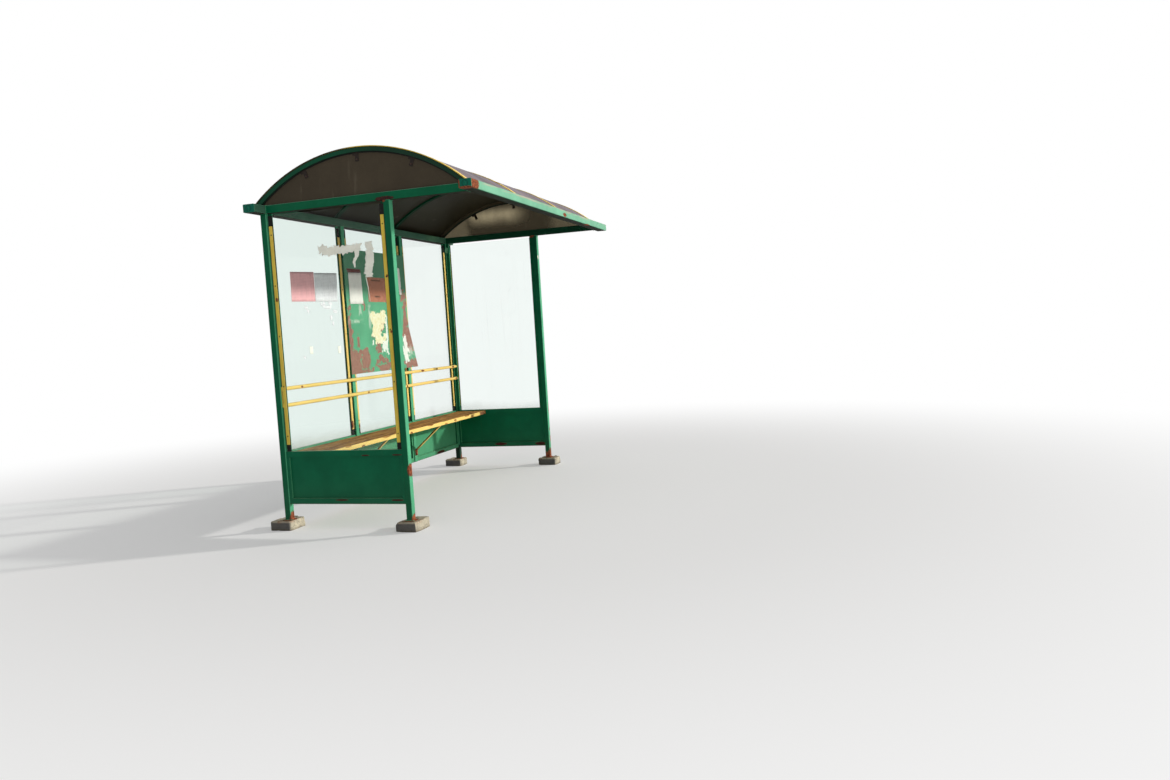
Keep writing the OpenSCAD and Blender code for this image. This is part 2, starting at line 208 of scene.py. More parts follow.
def set_surface(finish, height=None, **values):
    """Wires or plain values into the shader's own sockets; height is a relief in metres."""
    tree = finish.node_tree
    shader = tree.nodes["Principled BSDF"]
    if height is not None:
        values["Normal"] = height.node("Bump", {}, {"Strength": 1.0, "Distance": 1.0, "Height": height})
    for name, value in values.items():
        socket = shader.inputs[name.replace("_", " ")]
        if isinstance(value, Wire):
            tree.links.new(value.socket, socket)
        else:
            socket.default_value = value


def show_mixed(finish, share, first=None, second=None):
    """Two shaders mixed by share, from first to second; the one not given is the finish's own."""
    tree = finish.node_tree
    own = Wire(tree, tree.nodes["Principled BSDF"].outputs[0])
    mixed = share.node("MixShader", {}, {0: share, 1: first or own, 2: second or own})
    tree.links.new(mixed.socket, tree.nodes["Material Output"].inputs["Surface"])


key_data = bpy.data.lights.new("key", "SUN")
key_data.energy = KEY_STRENGTH
key_data.angle = KEY_SOFTNESS
key_data.color = KEY_COLOUR
key = bpy.data.objects.new("key", key_data)
key_from = Vector((
    math.cos(KEY_HEIGHT) * math.sin(KEY_TURN),
    -math.cos(KEY_HEIGHT) * math.cos(KEY_TURN),
    math.sin(KEY_HEIGHT),
))
key.rotation_euler = key_from.to_track_quat("Z", "Y").to_euler()
bpy.context.scene.collection.objects.link(key)

world = bpy.data.worlds.new("surround")
bpy.context.scene.world = world
world.use_nodes = True
start = Wire(world.node_tree)
fill = FILL_STRENGTH - start.node("TexCoord", output="Generated").y * FILL_FROM_FRONT
seen = start.node("LightPath", output="Is Camera Ray")
for ray in ("Is Glossy Ray", "Is Transmission Ray"):
    seen = seen.over(start.node("LightPath", output=ray))
background = world.node_tree.nodes["Background"]
background.inputs["Color"].default_value = (1.0, 1.0, 1.0, 1.0)
world.node_tree.links.new((fill + (1 - fill) * seen).socket, background.inputs["Strength"])

bpy.ops.mesh.primitive_plane_add(size=FLOOR_SIZE, location=(0, 0, 0))
floor = bpy.context.object
floor.name = "floor"
floor_finish, place = start_finish("floor")
set_surface(
    floor_finish, Base_Color=(FLOOR_GREY, FLOOR_GREY, FLOOR_GREY, 1), Roughness=0.9, Specular_IOR_Level=0.1,
)
whiter = place.vector("LENGTH", output="Value").step(FADE_FROM, FADE_TO) * (1 - FLOOR_LIFT) + FLOOR_LIFT
only_seen = whiter * place.node("LightPath", output="Is Camera Ray")
show_mixed(floor_finish, only_seen, second=place.node("Emission"))
floor.data.materials.append(floor_finish)


# Footings
# Four blocks of rough cast concrete, poured by hand round the post feet, so no two are alike.
# Each is a copy of its block in the model, cut to small faces and worn back inside it.
GRAIN = 0.006
MERGE_WITHIN = 0.0002
# Fineness, depth and bias of each set of chips, and what is worn off everywhere
SETS_OF_CHIPS = ((9.0, 0.012, 0.10), (28.0, 0.006, 0.05), (90.0, 0.0018, 0.0))
SKIN_WORN = 0.0008
LOW_EDGE, HIGH_EDGE, LOW_SHARE = 0.02, 0.06, 0.4
BASE_PLATE_HALF = 0.035
PLATE_MARGIN, PLATE_FADE = 0.010, 0.02


def add_piece(name, mesh, finish, replaced=()):
    """A finished mesh becomes a piece that rides on the shelter."""
    piece = bpy.data.objects.new(name, mesh)
    bpy.context.scene.collection.objects.link(piece)
    mesh.materials.clear()
    mesh.materials.append(finish)
    if replaced:
        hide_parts(*replaced)
    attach(piece, "root")


def carrier_of(name, mesh):
    """An object that holds a mesh until its modifiers are applied."""
    carrier = bpy.data.objects.new(name, mesh)
    bpy.context.scene.collection.objects.link(carrier)
    return carrier


def baked_mesh(carrier, name, smooth=False):
    """The mesh of an object with its modifiers applied; the object itself goes."""
    shown = carrier.evaluated_get(bpy.context.evaluated_depsgraph_get())
    mesh = bpy.data.meshes.new_from_object(shown)
    mesh.name = name
    bpy.data.objects.remove(carrier)
    if smooth:
        mesh.polygons.foreach_set("use_smooth", [True] * len(mesh.polygons))
    return mesh


def within(value, low, high):
    return min(max(value, low), high)


def middle_of(node):
    """The middle of the box round a part of the model."""
    low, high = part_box(node)
    return (low + high) / 2


FRONT_POST_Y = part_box("post_front_left")[0].y + BASE_PLATE_HALF
BACK_POST_Y = middle_of("glass_back_left").y
POST_X = middle_of("glass_right_end").x

concrete, place = start_finish("rough concrete")
facing = place.facing()
sand = place.noise(260, 4, 0.7)
clouds = place.noise(11, 4, 0.6)
pebbles = place.cells(95.0).step(0.34, 0.22) * place.noise(60, 2).step(0.5, 0.62)
pits = place.cells(210.0).step(0.3, 0.12)
cracks = abs(place.noise(16, 5, 0.6) - 0.5)
surface = (clouds * 0.7 + sand * 0.5).step(0.35, 0.85).mix((152, 146, 132), (206, 197, 172))
surface = (pebbles * 0.7).mix(surface, (140, 124, 104))
surface = (cracks.step(0.012, 0.003) * 0.7).mix(surface, (70, 64, 56))
# Painted shade: the sides that face -X, away from the key lamp, are darkened to grey below the top
painted_shade_side = facing.x.step(-0.3, -0.8) * place.z.step(0.068, 0.052)
surface = (painted_shade_side * (clouds * 0.5 + 0.6)).mix(surface, (62, 64, 70))
rust_run = place.noise(26, 3).step(0.5, 0.72) * place.z.step(0.045, 0.068)
surface = (rust_run * 0.5).mix(surface, (150, 92, 56))
damp = (place.z + clouds * 0.03).step(0.040, 0.012)
surface = (damp * 0.6).mix(surface, (92, 84, 68))
# Mud and rust water have dried on the top round each base plate
from_side = abs(abs(place.x) - POST_X)
from_front = abs(place.y - FRONT_POST_Y).under(abs(place.y - BACK_POST_Y))
mud = (from_side.over(from_front) + clouds * 0.05).step(0.115, 0.065) * facing.z.step(0.5, 0.9)
surface = (mud * 0.7).mix(surface, (108, 86, 62))
set_surface(
    concrete, Base_Color=surface, Roughness=0.93, Specular_IOR_Level=0.2,
    height=sand * 0.0012 + pebbles * 0.0008 - pits * 0.0012,
)

for corner in ("front_left", "front_right", "back_left", "back_right"):
    node = "footing_" + corner
    low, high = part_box(node)
    carrier = carrier_of(node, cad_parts[node].data.copy())
    merge = carrier.modifiers.new("merge", "WELD")
    merge.merge_threshold = MERGE_WITHIN
    cut = carrier.modifiers.new("cut", "REMESH")
    cut.mode = "VOXEL"
    cut.voxel_size = GRAIN
    mesh = baked_mesh(carrier, node + "_cast", smooth=True)
    corner_seed = Vector((low.x * 3.1, low.y * 5.3, 0))
    post_x = math.copysign(POST_X, low.x)
    post_y = FRONT_POST_Y if "front" in corner else BACK_POST_Y
    for vertex in mesh.vertices:
        point = vertex.co.copy()
        near_top = within((point.z - LOW_EDGE) / (HIGH_EDGE - LOW_EDGE), 0.0, 1.0)
        # The concrete under the base plate stays whole
        from_plate = max(abs(point.x - post_x), abs(point.y - post_y)) - BASE_PLATE_HALF - PLATE_MARGIN
        free = within(from_plate / PLATE_FADE, 0.0, 1.0)
        worn = SKIN_WORN
        for fineness, depth, bias in SETS_OF_CHIPS:
            worn += depth * max(0.0, noise.noise(point * fineness + corner_seed) + bias)
        point -= vertex.normal * worn * (LOW_SHARE + (1 - LOW_SHARE) * near_top) * free
        vertex.co = (
            within(point.x, low.x, high.x), within(point.y, low.y, high.y), within(point.z, 0.0, high.z),
        )
    mesh.update()
    add_piece(node + "_cast", mesh, concrete, [node])


# Posts and mullions
# Square steel tube, hand painted sea green over red primer, paler on the faces to the front and top, for
# chalking and painted light.
# The paint has gone at the feet and round the post heads, where water stands, and rust shows.
SEA_GREEN = (2, 92, 60)
# The paler colour goes on faces to the front and top, for chalking and painted light
LIT_CHALKED_GREEN = (86, 175, 131)
PRIMER = (104, 60, 50)
RUST = ((66, 36, 30), (172, 98, 64))
DARK_RUST = ((42, 25, 23), (86, 44, 37))
PAINT_THICKNESS = 0.0003
FOOT_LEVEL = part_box("footing_front_left")[1].z
HEAD_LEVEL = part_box("beam_front")[0].z


def dress(finish, *nodes):
    """Gives carried-over parts of the model their finish."""
    for node in nodes:
        for material_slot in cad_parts[node].material_slots:
            material_slot.material = finish


def most(wires):
    """The largest of several masks."""
    found = wires[0]
    for wire in wires[1:]:
        found = found.over(wire)
    return found


def spot(place, ragged, centre, reach, bite=0.9):
    """Above 0 within a distance of reach from a point, with a ragged border."""
    away = place.vector("SUBTRACT", centre).vector("DIVIDE", reach).vector("LENGTH", output="Value")
    return 1 - away + (ragged - 0.5) * bite


def shaded(colour, share):
    """A colour made lighter or darker."""
    return (*(part * share for part in paint(colour)[:3]), 1.0)


def painted_steel(
        name, shade, lit_chalked, spots=(), low_edge=None, chips=0.5, dust=0.6,
        bare_also=None, tint=None, rust=RUST, grain=(1, 1, 1)):
    """Brush-painted steel: shade on the other faces, and lit_chalked on faces to the front and top, as
    chalked paint and as painted light.

    spots are (centre, reach) of rust; below low_edge, a height and a depth, the paint has gone.
    bare_also(place, ragged) adds a rust mask, and tint(place, facing, coat) changes the coat.
    chips and dust are shares, dust paling the upward faces for dust on ledges and painted light on their
    tops, and grain stretches the pattern of the rust along each axis.
    """
    finish, place = start_finish(name)
    facing = place.facing()
    brushed = place.stretch(1, 1, 0.12).noise(130, 3, 0.6)
    clouds = place.noise(5.5, 5, 0.6)
    mottle = place.noise(38, 4, 0.6)
    ragged = place.noise(70, 6, 0.62)
    # Faces to the front and top take the paler colour: chalking of the paint, and painted light as if the
    # key lamp lit them
    weathered_and_lit_faces = facing.y.step(-0.1, -0.7).over(facing.z.step(0.2, 0.9) * 0.8)
    chalk_and_light = (weathered_and_lit_faces * (clouds * 0.9 + 0.40) + (mottle - 0.5) * 0.07).over(0.0).under(1.0)
    coat = chalk_and_light.mix(clouds.step(0.3, 0.7).mix(shaded(shade, 0.88), shaded(shade, 1.10)), lit_chalked)
    runs = place.stretch(38, 38, 1.6).noise(1.0, 4, 0.6).step(0.60, 0.80)
    grime = runs * 0.20 + place.z.step(0.50, 0.08) * clouds * 0.30
    coat = grime.under(0.5).mix(coat, (70, 72, 56))
    # Upward faces turn paler: dust on the ledges, and painted light on their tops
    ledge_dust_and_light = facing.z.step(0.6, 0.95) * (clouds * 0.5 + mottle * 0.4)
    coat = (ledge_dust_and_light * dust).mix(coat, (176, 176, 156))
    if tint is not None:
        coat = tint(place, facing, coat)
    bare_at = [(place.noise(15, 7, 0.68) - (0.775 - 0.03 * chips)) * 6.0]
    bare_at += [spot(place, ragged, centre, reach) for centre, reach in spots]
    if low_edge is not None:
        height, depth = low_edge
        bare_at.append((height + depth - place.z) / depth - 0.62 + (ragged - 0.5) * 1.6)
    if bare_also is not None:
        bare_at.append(bare_also(place, ragged))
    where = most(bare_at)
    bare = where.step(0.0, 0.06)
    rim = where.step(-0.16, -0.03) * (1 - bare)
    grained = place.stretch(*grain)
    patches = grained.noise(75, 5, 0.65) * 0.8 + grained.noise(340, 3, 0.6) * 0.4
    scale_relief = place.noise(210, 4, 0.7)
    below = facing.z.step(-0.5, -0.9)
    set_surface(
        finish, Base_Color=bare.mix((rim * 0.8).mix(coat, PRIMER), patches.step(0.42, 0.80).mix(*rust)),
        Roughness=bare * 0.4 + chalk_and_light * 0.12 + mottle * 0.1 + below * 0.3 + 0.40,
        Specular_IOR_Level=0.10,
        height=(1 - bare) * PAINT_THICKNESS + brushed * 0.00007 + bare * scale_relief * 0.0005,
    )
    return finish


POST_SPOTS = (
    # Foot of each post, highest on the right
    ((-1.390, -0.2325, FOOT_LEVEL), (0.034, 0.016, 0.045)),
    ((-1.375, -0.2325, FOOT_LEVEL + 0.01), (0.008, 0.02, 0.05)),
    ((1.398, -0.2325, FOOT_LEVEL), (0.04, 0.03, 0.085)),
    ((-1.390, 0.7255, FOOT_LEVEL), (0.034, 0.016, 0.06)),
    ((1.412, 0.7255, FOOT_LEVEL), (0.02, 0.02, 0.04)),
    ((1.375, -0.2095, FOOT_LEVEL), (0.012, 0.032, 0.055)),
    # Flakes up the front right post
    ((1.410, -0.2325, 0.255), (0.010, 0.012, 0.030)),
    ((1.402, -0.2325, 0.345), (0.008, 0.012, 0.014)),
    ((1.418, -0.23, 0.55), (0.012, 0.014, 0.06)),
    # Scrape at knee height on the front left post
    ((-1.398, -0.2325, 0.416), (0.034, 0.016, 0.042)),
    ((-1.376, -0.2325, 0.405), (0.010, 0.03, 0.030)),
    # Heads under the side beams
    ((-1.398, -0.1865, HEAD_LEVEL), (0.04, 0.02, 0.012)),
    ((1.398, -0.1865, HEAD_LEVEL), (0.04, 0.03, 0.02)),
)


def post_tint(place, facing, coat):
    """Pale undercoat at a chip; a pale patch of worn paint and painted light at the back right head; a
    painted shadow, nearly black, on the back right foot.
    """
    chip = spot(place, place.noise(70, 4), (1.388, -0.2325, 2.007), (0.012, 0.012, 0.022)).step(0.0, 0.1)
    # Worn paint at the back right head, with a painted patch of light on it
    head = spot(place, place.noise(50, 4), (1.398, 0.7255, 2.15), (0.03, 0.02, 0.04)).step(0.0, 0.2)
    coat = (head * 0.7).mix(coat, (150, 218, 176))
    # Painted shadow, nearly black, on the back right foot
    foot = spot(place, place.noise(50, 4), (1.38, 0.73, 0.11), (0.06, 0.06, 0.12), 0.5).step(0.0, 0.2)
    coat = (foot * 0.9).mix(coat, (20, 34, 26))
    return chip.mix(coat, (226, 220, 204))


post_paint = painted_steel(
    "post paint", SEA_GREEN, LIT_CHALKED_GREEN, POST_SPOTS, low_edge=(FOOT_LEVEL, 0.009), tint=post_tint,
)
dress(
    post_paint, "post_front_left", "post_front_right", "post_back_left", "post_back_right",
    "mullion_left", "mullion_right",
)


# Wall panels
# Pressed steel sheet in a low frame, between the posts, with the same paint on both sides.
# Rust has come through where the rails meet the stiles and along the lower rails.
PANEL_GREEN = (7, 98, 66)
# The paler colour goes on faces to the front and top, for chalking and painted light
LIT_CHALKED_PANEL_GREEN = (76, 156, 114)
PANEL_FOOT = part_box("panel_left_end")[0].z
PANEL_SPOTS = (
    # Left end
    ((-1.413, 0.095, 0.521), (0.012, 0.030, 0.0045)),
    ((-1.413, -0.145, 0.521), (0.012, 0.034, 0.0045)),
    ((-1.413, -0.125, 0.212), (0.02, 0.044, 0.0055)),
    ((-1.413, 0.305, 0.2135), (0.02, 0.044, 0.0055)),
    # Right end
    ((1.383, 0.28, 0.210), (0.02, 0.058, 0.013)),
    ((1.383, -0.14, 0.206), (0.02, 0.050, 0.014)),
    # Back wall
    ((-0.90, 0.735, 0.195), (0.07, 0.02, 0.009)),
    ((0.12, 0.735, 0.195), (0.10, 0.02, 0.009)),
    ((0.98, 0.735, 0.20), (0.08, 0.02, 0.012)),
    ((0.30, 0.76, 0.20), (0.09, 0.02, 0.014)),
    ((-0.70, 0.76, 0.53), (0.05, 0.02, 0.008)),
)
panel_paint = painted_steel(
    "panel paint", PANEL_GREEN, LIT_CHALKED_PANEL_GREEN, PANEL_SPOTS, low_edge=(PANEL_FOOT, 0.004), chips=0.8,
    rust=DARK_RUST,
)
dress(
    panel_paint, "panel_left_end", "panel_right_end",
    "panel_back_left", "panel_back_middle", "panel_back_right",
)


# Glass
# Six millimetre toughened panes, which stand on the panels and stop short of the roof beams.
# Traffic dust lies along the lower edge and runs down in streaks, and the faces mirror at a slant.
GLASS_TINT = (0.95, 0.978, 0.966, 1.0)
PANE_FOOT, PANE_HEAD = (corner.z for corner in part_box("glass_left_end"))


def pane_finish(name, haze):
    """Clear glass under a thin film of dust, which haze thickens."""
    finish, place = start_finish(name)
    slant = place.node("LayerWeight", {}, {"Blend": 0.5}, "Facing")
    clear = place.node("BsdfTransparent", {}, {"Color": GLASS_TINT})
    mirror = place.node("BsdfGlossy", {}, {"Roughness": 0.03})
    pane = place.node("MixShader", {}, {0: slant ** 5.0 * 0.85 + 0.006, 1: clear, 2: mirror})
    clouds = place.noise(3.2, 5, 0.62)
    runs = place.stretch(46, 46, 1.1).noise(1.0, 5, 0.6).step(0.55, 0.85)
    smears = place.noise(7.5, 4, 0.7, 1.6).step(0.58, 0.78)
    low_dust = (place.z + clouds * 0.12).step(PANE_FOOT + 0.16, PANE_FOOT + 0.02)
    specks = place.noise(240, 2, 0.5).step(0.68, 0.76)
    film = clouds * 0.012 + runs * 0.03 + smears * 0.02 + low_dust * 0.16 + specks * 0.05 + haze
    set_surface(finish, Base_Color=clouds.mix((204, 204, 194), (176, 178, 164)), Roughness=0.85)
    show_mixed(finish, film.over(0.0).under(0.7), first=pane)
    return finish


dress(pane_finish("end glass", 0.0), "glass_left_end", "glass_right_end")
dress(pane_finish("back glass", 0.01), "glass_back_left", "glass_back_middle", "glass_back_right")


# Clamping strips
# Flat yellow strips screwed on over the panes, outside on the end walls and inside on the back wall.
# The screws are made here, and the black glazing rubber, which shows beside, above and below each strip.
YELLOW = (225, 196, 82)
# The paler yellow goes on faces to the front and top, for chalking and painted light
LIT_CHALKED_YELLOW = (244, 208, 122)
SCREW_RADIUS, SCREW_HEIGHT, SCREW_SIDES, DOME_RINGS = 0.0048, 0.0030, 10, 6
SCREW_STEPS = 5
SCREW_END = 0.06
RUBBER_LIP, RUBBER_HEIGHT = 0.0035, 0.004
STRIP_HALF = 0.0125

STRIP_SPOTS = (
    ((-1.41, -0.17, 1.72), (0.02, 0.006, 0.010)),
    ((-1.41, -0.17, 1.35), (0.02, 0.006, 0.010)),
    ((-1.41, 0.70, 1.62), (0.02, 0.009, 0.014)),
    ((0.52, 0.74, 1.42), (0.012, 0.02, 0.030)),
    ((-0.52, 0.74, 0.64), (0.016, 0.02, 0.03)),
    ((-0.41, 0.74, 0.62), (0.016, 0.02, 0.02)),
)
strip_paint = painted_steel("strip paint", YELLOW, LIT_CHALKED_YELLOW, STRIP_SPOTS, chips=0.7)
dress(strip_paint, "beads_left_end", "beads_right_end", "beads_back")

screw_steel, place = start_finish("screw steel")
age = place.noise(150, 3).step(0.38, 0.62)
set_surface(
    screw_steel, Base_Color=age.mix((70, 64, 56), RUST[0]), Metallic=(1 - age) * 0.7,
    Roughness=age * 0.35 + 0.45,
)

rubber, place = start_finish("rubber")
set_surface(
    rubber, Base_Color=place.noise(60, 3).mix((18, 19, 18), (46, 46, 43)),
    Roughness=0.8, Specular_IOR_Level=0.15, height=place.noise(160, 3) * 0.0003,
)


def stud_tree():
    """Domes on the points of a mesh, turned to the points' facing."""
    tree = bpy.data.node_groups.new("studs on points", "GeometryNodeTree")
    sizes = (
        ("Points", "Geometry"), ("Radius", "Float"), ("Height", "Float"), ("Sides", "Int"),
        ("Finish", "Material"),
    )
    for name, kind in sizes:
        tree.interface.new_socket(name, in_out="INPUT", socket_type="NodeSocket" + kind)
    tree.interface.new_socket("Studs", in_out="OUTPUT", socket_type="NodeSocketGeometry")
    start = Wire(tree)
    given = [start.node("NodeGroupInput", output=name) for name, kind in sizes]
    points, radius, height, sides, finish = given
    facing = start.node(
        "GeometryNodeInputNamedAttribute", {"data_type": "FLOAT_VECTOR"}, {"Name": "facing"}, "Attribute",
    )
    ball = start.node(
        "GeometryNodeMeshUVSphere", {}, {"Segments": sides, "Rings": DOME_RINGS, "Radius": 1.0},
    )
    flat = start.node("CombineXYZ", {}, {0: radius, 1: radius, 2: height})
    dome = start.node("GeometryNodeTransform", {}, {"Geometry": ball, "Scale": flat})
    turn = start.node("FunctionNodeAlignRotationToVector", {}, {"Vector": facing})
    studs = start.node(
        "GeometryNodeInstanceOnPoints", {}, {"Points": points, "Instance": dome, "Rotation": turn},
    )
    solid = start.node("GeometryNodeRealizeInstances", {}, {"Geometry": studs})
    smooth = start.node("GeometryNodeSetShadeSmooth", {}, {"Geometry": solid})
    painted = start.node("GeometryNodeSetMaterial", {}, {"Geometry": smooth, "Material": finish})
    start.node("NodeGroupOutput", {}, {"Studs": painted})
    return tree


STUDS = stud_tree()


def stud_set(name, places, finish, radius=SCREW_RADIUS, height=SCREW_HEIGHT, sides=SCREW_SIDES):
    """One piece with a dome at each (point, facing)."""
    mesh = bpy.data.meshes.new(name)
    mesh.from_pydata([point for point, facing in places], [], [])
    facings = mesh.attributes.new("facing", "FLOAT_VECTOR", "POINT")
    for item, (point, facing) in zip(facings.data, places):
        item.vector = facing
    carrier = carrier_of(name, mesh)
    drive = carrier.modifiers.new("studs", "NODES")
    drive.node_group = STUDS
    sizes = {"Radius": radius, "Height": height, "Sides": sides, "Finish": finish}
    for item in STUDS.interface.items_tree:
        if item.name in sizes:
            drive[item.identifier] = sizes[item.name]
    add_piece(name, baked_mesh(carrier, name), finish)


def box_into(build, low, high):
    """Adds a box between two corners to a mesh that is being built."""
    made = bmesh.ops.create_cube(build, size=1.0)["verts"]
    for vertex in made:
        vertex.co = Vector([low[i] + (vertex.co[i] + 0.5) * (high[i] - low[i]) for i in range(3)])


def mesh_of(build, name):
    """Ends a build: its faces are turned outwards and it becomes a mesh."""
    mesh = bpy.data.meshes.new(name)
    bmesh.ops.recalc_face_normals(build, faces=build.faces)
    build.to_mesh(mesh)
    build.free()
    return mesh


strip_low, strip_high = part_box("beads_left_end")
END_STRIPS = (strip_low.y + STRIP_HALF, strip_high.y - STRIP_HALF)
back_low, back_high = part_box("beads_back")
BAY = middle_of("mullion_right").x * 2
OUTER_STRIP = back_high.x - STRIP_HALF - BAY
BACK_STRIPS = tuple(bay * BAY + side * OUTER_STRIP for bay in (-1, 0, 1) for side in (-1, 1))
GLASS_FACE_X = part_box("glass_right_end")[1].x
GLASS_FACE_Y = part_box("glass_back_left")[0].y
screwed_length = strip_high.z - strip_low.z - 2 * SCREW_END
places = []
for level in range(SCREW_STEPS):
    height = strip_low.z + SCREW_END + screwed_length * level / (SCREW_STEPS - 1)
    for middle in END_STRIPS:
        places.append((Vector((strip_low.x, middle, height)), Vector((-1, 0, 0))))
        places.append((Vector((-strip_low.x, middle, height)), Vector((1, 0, 0))))
    for middle in BACK_STRIPS:
        places.append((Vector((middle, back_low.y, height)), Vector((0, -1, 0))))
stud_set("strip_screws", places, screw_steel)

# Rubber beside, above and below a strip: across from and to, height from and to
LIPS = (
    (-STRIP_HALF - RUBBER_LIP, -STRIP_HALF, PANE_FOOT, PANE_HEAD),
    (STRIP_HALF, STRIP_HALF + RUBBER_LIP, PANE_FOOT, PANE_HEAD),
    (-STRIP_HALF, STRIP_HALF, strip_high.z, PANE_HEAD),
    (-STRIP_HALF, STRIP_HALF, PANE_FOOT, strip_low.z),
)
seals = bmesh.new()
for across_from, across_to, height_from, height_to in LIPS:
    for middle in END_STRIPS:
        for side in (-1, 1):
            inner, outer = sorted((side * GLASS_FACE_X, side * (GLASS_FACE_X + RUBBER_HEIGHT)))
            near_corner = (inner, middle + across_from, height_from)
            box_into(seals, near_corner, (outer, middle + across_to, height_to))
    for middle in BACK_STRIPS:
        near_corner = (middle + across_from, GLASS_FACE_Y - RUBBER_HEIGHT, height_from)
        box_into(seals, near_corner, (middle + across_to, GLASS_FACE_Y, height_to))
add_piece("glass_seals", mesh_of(seals, "glass_seals"), rubber)


# Roof beams
# Steel box tube on the posts, front and back, with side beams between and painted plugs in the open
# ends. The front beam takes the weather: its upper edge is worn, and its left end is rusty.
BEAM_SPOTS = (
    # Left end of the front beam
    ((-1.497, -0.8815, 2.244), (0.066, 0.02, 0.040)),
    ((-1.45, -0.8815, 2.236), (0.018, 0.02, 0.022)),
    ((-1.53, -0.84, 2.213), (0.03, 0.05, 0.006)),
    ((-1.53, -0.81, 2.269), (0.03, 0.05, 0.006)),
    # Small spot near the second rib, and others along the lower edge
    ((0.300, -0.8815, 2.232), (0.040, 0.02, 0.015)),
    ((0.95, -0.875, 2.213), (0.06, 0.03, 0.004)),
    ((1.421, -0.20, 2.222), (0.02, 0.05, 0.018)),
)
OLD_RUST_OVER_POST = ((-1.421, -0.196, 2.224), (0.02, 0.070, 0.016))
BEAM_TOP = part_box("beam_front")[1].z


def beam_tint(place, facing, coat):
    """Worn streaks on the front beam's upper edge, painted shade on the inner sides, and dark brown painted
    shade on the undersides.
    """
    front = facing.y.step(-0.6, -0.9) * place.y.step(-0.80, -0.87)
    streaks = place.stretch(4.0, 60, 90).noise(1.0, 5, 0.65).step(0.47, 0.60)
    worn = streaks * front * place.z.step(BEAM_TOP - 0.024, BEAM_TOP - 0.008)
    # Painted shade: undersides, and the inner sides of the back and right beams, are darkened
    under = facing.z.step(-0.5, -0.9)
    painted_shade_back_inside = facing.y.step(-0.5, -0.9) * place.y.step(0.4, 0.7)
    painted_shade_right_inside = facing.x.step(-0.5, -0.9) * place.x.step(1.2, 1.36)
    coat = (painted_shade_back_inside.over(painted_shade_right_inside) * 0.65).mix(coat, (14, 40, 28))
    coat = (under * place.y.step(-0.876, -0.864) * 0.95).mix(coat, (30, 27, 19))
    coat = (worn * 0.7).mix(coat, (196, 162, 150))
    scar = spot(place, place.noise(70, 6, 0.62), *OLD_RUST_OVER_POST).step(0.0, 0.1)
    return scar.mix(coat, place.noise(90, 4).step(0.4, 0.7).mix(*DARK_RUST))


# The paler colour is for chalking and painted light on the faces to the front and top
beam_paint = painted_steel("beam paint", SEA_GREEN, (122, 184, 152), BEAM_SPOTS, chips=0.4, tint=beam_tint)
dress(beam_paint, "beam_front", "beam_back", "beam_left", "beam_right")

PLUG_SPOTS = (
    ((-1.547, -0.8375, 2.215), (0.02, 0.05, 0.007)),
    ((-1.547, -0.796, 2.241), (0.02, 0.006, 0.03)),
    ((1.547, -0.8375, 2.215), (0.02, 0.05, 0.010)),
    ((1.547, 0.7655, 2.215), (0.02, 0.05, 0.010)),
)
RING_RADIUS, RING_HALF, RING_EDGE = 0.019, 0.0012, 0.001
PLUG_MIDDLES = [middle_of(beam).y for beam in ("beam_front", "beam_back")]


def ring_line(place, facing, coat):
    """A dark ring round the boss of each plug."""
    height = place.z - (HEAD_LEVEL + BEAM_TOP) / 2
    found = []
    for middle in PLUG_MIDDLES:
        across = place.y - middle
        away = (across * across + height * height) ** 0.5
        found.append(away.between(RING_RADIUS - RING_HALF, RING_RADIUS + RING_HALF, RING_EDGE))
    return (most(found) * 0.8).mix(coat, (14, 40, 36))


# The paler colour is for chalking and painted light on the faces to the front and top
dress(painted_steel("plug paint", (9, 100, 80), LIT_CHALKED_GREEN, PLUG_SPOTS, tint=ring_line), "beam_end_caps")


# Arched ribs
# Tube rolled to the curve of the roof, standing on the front and back beams.
# Sea green like the frame, nearly black with painted shade underneath, and nearly black on the front half of
# the outer faces.
RIB_SPOTS = tuple(
    ((x, y, BEAM_TOP), (0.03, 0.03, 0.016)) for x in (-1.401, -0.466, 0.466, 1.401) for y in (-0.79, 0.79)
)


def rib_tint(place, facing, coat):
    """Painted shade, nearly black, underneath; nearly black on the front half of the outer faces; brown
    inside the right rib.
    """
    # Painted shade: the undersides of the ribs go nearly black
    under = facing.z.step(0.1, -0.3)
    fore = place.y.step(0.30, -0.20) * abs(facing.x).step(0.6, 0.9)
    coat = (under.over(fore * 0.8) * 0.85).mix(coat, (28, 40, 32))
    inside_right = place.x.step(1.36, 1.38) * facing.x.step(-0.5, -0.9)
    return (inside_right * 0.9).mix(coat, (84, 70, 54))


# The paler colour is for chalking and painted light on the faces to the front and top
rib_paint = painted_steel("rib paint", (9, 78, 53), (60, 132, 98), RIB_SPOTS, tint=rib_tint)
dress(rib_paint, "rib_left", "rib_inner_left", "rib_inner_right", "rib_right")


# Welds
# The frame is welded steel, with a bead round each joint of post, beam and base plate.
# The beads are rough, and carry the paint and the rust of the steel beside them.
WELD_RADIUS, WELD_RISE, WELD_SIDES = 0.0034, 0.00272, 8
WELD_PITCH = 0.0042
WELD_SHAKE, WELD_LEAN, WELD_SEED = 0.0007, 0.5, 7
POST_HALF, BASE_PLATE_THICKNESS = 0.023, 0.005
welds = []
# noise_vector starts from the clock unless its seed is set
noise.seed_set(WELD_SEED)


def weld_along(start, end, outward):
    """Drops of weld from start to end, each a little out of line."""
    start, end, outward = Vector(start), Vector(end), Vector(outward)
    steps = max(2, round((end - start).length / WELD_PITCH))
    for number in range(steps + 1):
        point = start.lerp(end, number / steps)
        lean = noise.noise_vector(point * 150.0) * WELD_LEAN
        welds.append((point + noise.noise_vector(point * 310.0) * WELD_SHAKE, (outward + lean).normalized()))


